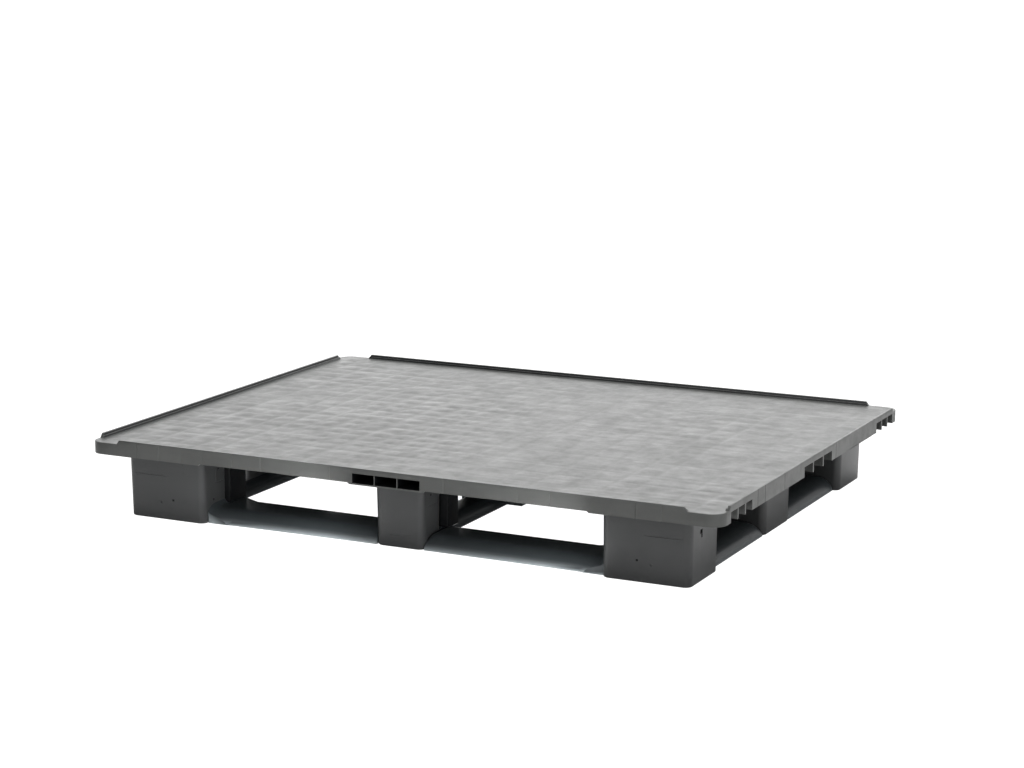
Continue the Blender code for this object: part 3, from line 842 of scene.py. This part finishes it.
# %% Middle shells
def middle_shell(node, count_x, count_y):
    """A shell with round corners, whose outer sides lean out towards the top."""
    low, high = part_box(node)
    bm = bmesh.new()
    if count_x > 1:
        x_range = (low.x + draft, high.x - draft)
        y_range = (low.y, high.y - draft) if low.y > 0 else (low.y + draft, high.y)
    else:
        y_range = (low.y + draft, high.y - draft)
        x_range = (low.x, high.x - draft) if low.x > 0 else (low.x + draft, high.x)
    plate(bm, x_range, y_range, foot_round, segments=7)
    draw_out(bm, 0.0, foot_top)
    round_bottom(bm, bottom_round)
    hollows = [(xs, ys) for xs in split(*x_range, count_x) for ys in split(*y_range, count_y)]
    sink(bm, -1, 0.0, hollows, foot_top - shell_roof)
    if count_x > 1:
        front = max(y_range, key=abs)
        recess(bm, FRONT_BACK, math.copysign(1.0, front), front, (-0.019, 0.027), (0.0228, 0.0240), 0.0005)
        for side, edge in ((-1, x_range[0]), (1, x_range[1])):
            dot(bm, LEFT_RIGHT, side, edge, (math.copysign(0.418, front), 0.099))
            recess(bm, LEFT_RIGHT, side, edge, (front * 0.955, front * 0.87), (0.0795, 0.0807), line_depth)
    middle_x = abs(sum(x_range)) / 2 if count_x == 1 else 0.0
    middle_y = abs(sum(y_range)) / 2 if count_y == 1 else 0.0
    lean(bm, (middle_x, middle_y), foot_top)
    return bm


hollow_counts = {"front_middle_foot": (2, 1), "back_middle_foot": (2, 1),
                 "left_middle_foot": (1, 3), "right_middle_foot": (1, 3)}
for node, (count_x, count_y) in hollow_counts.items():
    show(middle_shell(node, count_x, count_y), f"{node}_shell", foot_finish, "foot_plastic", [node],
         more=(shade_black_finish,))


# %% [markdown]
# ## The posts
# Behind each shell stands a post: a tube with a floor, which rests on the runner and carries the
# deck. A ninth one stands in the middle. Only slivers of them show, so a post is kept simple: a
# drawn-out plate with rounded upright edges, sunk from above on both sides of a dividing wall. Its
# near-black colour is painted shade for the dark space under the deck.

# %% Posts
post_wall, post_round, floor_round = 0.004, 0.003, 0.001
for node in sorted(n for n in frame["nodes"] if n.endswith("_post")):
    low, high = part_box(node)
    bm = bmesh.new()
    plate(bm, (low.x, high.x), (low.y, high.y), post_round, segments=3)
    draw_out(bm, low.z, high.z)
    middle = (low.x + high.x) / 2
    ys = (low.y + post_wall, high.y - post_wall)
    halves = [((low.x + post_wall, middle - post_wall / 2), ys),
              ((middle + post_wall / 2, high.x - post_wall), ys)]
    sink(bm, 1, high.z, halves, high.z - low.z - post_wall)
    foot_edges = [e for e in sharp_edges(bm) if all(v.co.z < low.z + 1e-5 for v in e.verts)]
    soften(bm, foot_edges, floor_round)
    # The post's near-black finish is painted shade.
    show(bm, f"{node}_tube", shade_black_finish, "post_plastic", [node])


# %% [markdown]
# ## The runners
# A runner is a flat strip with a wide round nose on its outer edge and a small one on its inner
# edge. It could be a curve with a bevel, but a curve keeps one cross-section all along. Here the
# cross-section is a closed ring of points, and the ring is extruded from station to station, each
# with its own width and height: lower beside a middle foot, flared and raised where it runs into a
# corner foot, and cut back where a shell stands. Bays are sunk from below, to keep the walls thin.
# The outer lip is painted pale, as a painted highlight.

# %% A strip drawn from station to station
arc_steps = 9
# The painted lip highlight fades out over lip_height; the cut-back facet gets only a little of it.
lip_height, facet_highlight = 0.014, 0.10


def shape_ring(ring, axis, side, station):
    """Place one ring. A station is (along, outer, outer nose, inner, inner nose, height)."""
    along, outer, outer_nose, inner, inner_nose, height = station
    count = arc_steps + 1
    for number, vert in enumerate(ring):
        angle = math.radians(90.0 * (number if number < count else number - count) / arc_steps)
        if number < count:
            reach, up = outer - outer_nose * (1.0 - math.cos(angle)), height * math.sin(angle)
        else:
            reach, up = inner + inner_nose * (1.0 - math.sin(angle)), height * math.cos(angle)
        vert.co = (along, side * reach, up) if axis == LEFT_RIGHT else (side * reach, along, up)


def strip(axis, side, stations):
    """A closed body through all stations. Its ring starts as a circle with the same count of points."""
    bm = bmesh.new()
    ring = bmesh.ops.create_circle(bm, cap_ends=False, segments=2 * (arc_steps + 1), radius=1.0)["verts"]
    shape_ring(ring, axis, side, stations[0])
    bm.verts.index_update()
    edges = bm.edges[:]
    for station in stations[1:]:
        grown = bmesh.ops.extrude_edge_only(bm, edges=edges)["geom"]
        ring = [v for v in grown if isinstance(v, bmesh.types.BMVert)]
        edges = [e for e in grown if isinstance(e, bmesh.types.BMEdge)]
        shape_ring(ring, axis, side, station)
    bmesh.ops.holes_fill(bm, edges=[e for e in bm.edges if len(e.link_faces) == 1], sides=0)
    bmesh.ops.recalc_face_normals(bm, faces=bm.faces)
    return bm


def paint_lip_highlight(bm, strength, facet=None):
    """A painted highlight on the lower lip: strongest at the bottom, and little on a cut-back facet."""
    layer = bm.verts.layers.float.new("lip_highlight")
    bm.normal_update()
    for vert in bm.verts:
        vert[layer] = strength * max(0.0, 1.0 - vert.co.z / lip_height) ** 2
        if facet and abs(vert.co.y) > facet - 0.004 and vert.co.z > 0.0005:
            if any(abs(f.normal.y) > 0.98 for f in vert.link_faces):
                vert[layer] = facet_highlight


print("runner tools:", shape_ring.__name__, strip.__name__, paint_lip_highlight.__name__)

# %% Runner sizes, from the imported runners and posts
front_low, front_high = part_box("front_runner")
right_low, right_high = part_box("right_back_runner")
post_low, post_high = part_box("back_right_post")
mid_low, mid_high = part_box("back_middle_post")
side_low, side_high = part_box("right_middle_post")
runner_top = front_high.z - 0.001
outer_nose, inner_nose, square = 0.035, 0.020, 0.001
bay_wall, bay_roof, outer_lean, inner_lean = 0.0035, 0.0035, 0.018, 0.012
runner_out = -front_low.y - 0.004
runner_in = 0.341
pad_top = front_high.z - 0.0004
shell_x = corner_in_x
gap = 0.0003
print("runner top at", round(runner_top, 4))


def bay_rooms(start, end, count, low, high):
    """Equal bays along a runner, with walls between them."""
    pitch = (end - start - bay_wall) / count
    return [((start + bay_wall + pitch * i, start + pitch * (i + 1)), (low + bay_wall, high - bay_wall))
            for i in range(count)]


def sink_bays(bm, axis, rooms, side):
    """Sink bays from below, with sides that lean in below the noses."""
    if axis == FRONT_BACK:
        rooms = [(across, along) for along, across in rooms]
    moved = sink(bm, -1, 0.0, rooms, runner_top - bay_roof)
    across = FRONT_BACK if axis == LEFT_RIGHT else LEFT_RIGHT
    values = [abs(v.co[across]) for v in moved]
    middle = (min(values) + max(values)) / 2
    for vert in moved:
        outward = abs(vert.co[across]) > middle
        vert.co[across] -= side * (outer_lean if outward else -inner_lean)


# %% Front and back runners
def cross_half():
    """Stations of the front or back runner from the middle to its end, on one side."""
    out, post_in = runner_out, mid_low.y
    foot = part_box("back_middle_foot")[1].x - draft + gap
    full = (outer_nose, runner_in, inner_nose, runner_top)
    stations = [(x, mid_high.y, square, post_in, square, pad_top) for x in (0.0, foot)]
    for away, drop in ((0.0001, 0.0075), (0.0035, 0.0030), (0.0075, 0.0006)):
        stations.append((foot + away, out, outer_nose, post_in, square, runner_top - drop))
    stations.append((mid_high.x, out, outer_nose, post_in, square, runner_top))
    stations.append((mid_high.x + 0.0001, out, *full))
    flare = shell_x - 0.052
    stations += [(x, out + 0.004 * (x / flare) ** 3, *full) for x in (0.14, 0.22, 0.30, flare)]
    flat_in, gusset_in = runner_in + inner_nose, post_low.y - 0.002
    for share, lift in ((0.25, 0.0), (0.5, 0.0), (0.75, 0.0), (0.88, 0.0012), (0.94, 0.0035), (1.0, 0.0080)):
        x = flare + (shell_x - gap - flare) * share
        nose_in = 0.018 * (1 - share) + 0.002
        reach_in = flat_in + (gusset_in - flat_in) * share - 0.018 * (1 - share) - 0.002
        stations.append((x, out + 0.004 + 0.011 * share, outer_nose, reach_in, nose_in, runner_top + lift))
    for x in (shell_x - gap + 0.0001, post_high.x):
        stations.append((x, post_high.y, square, post_low.y, square, pad_top))
    return stations


facet_plane, crease_round = 0.4525, 0.0022
half = cross_half()
whole = [(-s[0], *s[1:]) for s in reversed(half[1:])] + half


def on_facet(verts):
    """Whether all of these corners lie on the cut-back facet."""
    return all(abs(abs(v.co.y) - facet_plane) < 1e-5 for v in verts)


for sign, row in ((-1, "front"), (1, "back")):
    bm = strip(LEFT_RIGHT, sign, whole)
    bmesh.ops.bisect_plane(bm, geom=bm.verts[:] + bm.edges[:] + bm.faces[:], dist=1e-6, clear_outer=True,
                           plane_co=(0.0, sign * facet_plane, 0.0), plane_no=(0.0, sign, 0.0))
    bmesh.ops.holes_fill(bm, edges=[e for e in bm.edges if len(e.link_faces) == 1], sides=0)
    crease = [e for e in bm.edges if on_facet(e.verts) and middle_of(e).z > 0.002
              and sum(on_facet(f.verts) for f in e.link_faces) == 1]
    soften(bm, crease, crease_round)
    rooms = []
    for side in (-1, 1):
        start, end = sorted((side * (mid_high.x + 0.001), side * (post_low.x - 0.03)))
        rooms += bay_rooms(start, end, 4, *sorted((sign * runner_out, sign * runner_in)))
    sink_bays(bm, LEFT_RIGHT, rooms, sign)
    bmesh.ops.recalc_face_normals(bm, faces=bm.faces)
    # The front and back runners' lips get the strongest painted highlight.
    paint_lip_highlight(bm, 1.0, facet_plane)
    show(bm, f"{row}_runner_strip", runner_finish, "runner_plastic", [f"{row}_runner"], smooth=40.0)


# %% Side runners
def side_stations(start, end, foot):
    """Stations of one stretch of the left or right runner; beside the middle foot it is lower."""
    out, inner = right_high.x, right_low.x
    full = (out, outer_nose, inner, inner_nose)
    stations = [(start, *full, runner_top)]
    if foot:
        shell_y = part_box("right_middle_foot")[1].y - draft + gap
        pad = (side_high.x, square, side_low.x, square)
        beside_post = (out, outer_nose, side_low.x, square)
        before = [(-0.012, full, 0.0), (-0.008, beside_post, 0.0012), (-0.004, beside_post, 0.0038),
                  (0.0, beside_post, 0.0085)]
        before = [(away - shell_y, *shape, runner_top - drop) for away, shape, drop in before]
        stations += [s for s in before if s[0] > start]
        stations += [(-shell_y + 0.0001, *pad, pad_top), (shell_y - 0.0001, *pad, pad_top)]
        stations += [(-s[0], *s[1:]) for s in reversed(before)]
    stations.append((end, *full, runner_top))
    return stations


for node in ("right_front_runner", "right_back_runner", "left_back_runner", "left_front_runner"):
    low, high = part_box(node)
    side = math.copysign(1.0, low.x)
    foot = low.y < 0.0 < high.y
    bm = strip(FRONT_BACK, side, side_stations(low.y, high.y, foot))
    across = sorted((side * right_high.x, side * right_low.x))
    if foot:
        pad_y = side_high.y + 0.001
        front_count, back_count = (1, 3) if side > 0 else (3, 1)
        rooms = bay_rooms(low.y, -pad_y, front_count, *across)
        rooms += bay_rooms(pad_y, high.y, back_count, *across)
    else:
        rooms = bay_rooms(low.y, high.y, 3, *across)
    sink_bays(bm, FRONT_BACK, rooms, side)
    bmesh.ops.recalc_face_normals(bm, faces=bm.faces)
    # The side runners' lips get a weaker painted highlight.
    paint_lip_highlight(bm, 0.35)
    show(bm, f"{node}_strip", runner_finish, "runner_plastic", [node], smooth=40.0)


# %% Centre runner
low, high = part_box("centre_runner")
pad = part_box("centre_post")[1].x
half_width = 0.034
strip_half = (half_width, inner_nose, -half_width, inner_nose)
pad_half = (pad, square, -pad, square)
stations = [(y, *strip_half, runner_top) for y in (low.y, -pad - 0.0001)]
stations += [(y, *pad_half, pad_top) for y in (-pad, pad)]
stations += [(y, *strip_half, runner_top) for y in (pad + 0.0001, high.y)]
bm = strip(FRONT_BACK, 1, stations)
rooms = bay_rooms(low.y, -pad, 3, -half_width, half_width)
rooms += bay_rooms(pad, high.y, 3, -half_width, half_width)
moved = sink(bm, -1, 0.0, [(across, along) for along, across in rooms], runner_top - bay_roof)
for vert in moved:
    vert.co.x -= math.copysign(inner_lean, vert.co.x)
bmesh.ops.recalc_face_normals(bm, faces=bm.faces)
# The centre runner gets the weakest painted highlight.
paint_lip_highlight(bm, 0.2)
show(bm, "centre_runner_strip", runner_finish, "runner_plastic", ["centre_runner"], smooth=40.0)
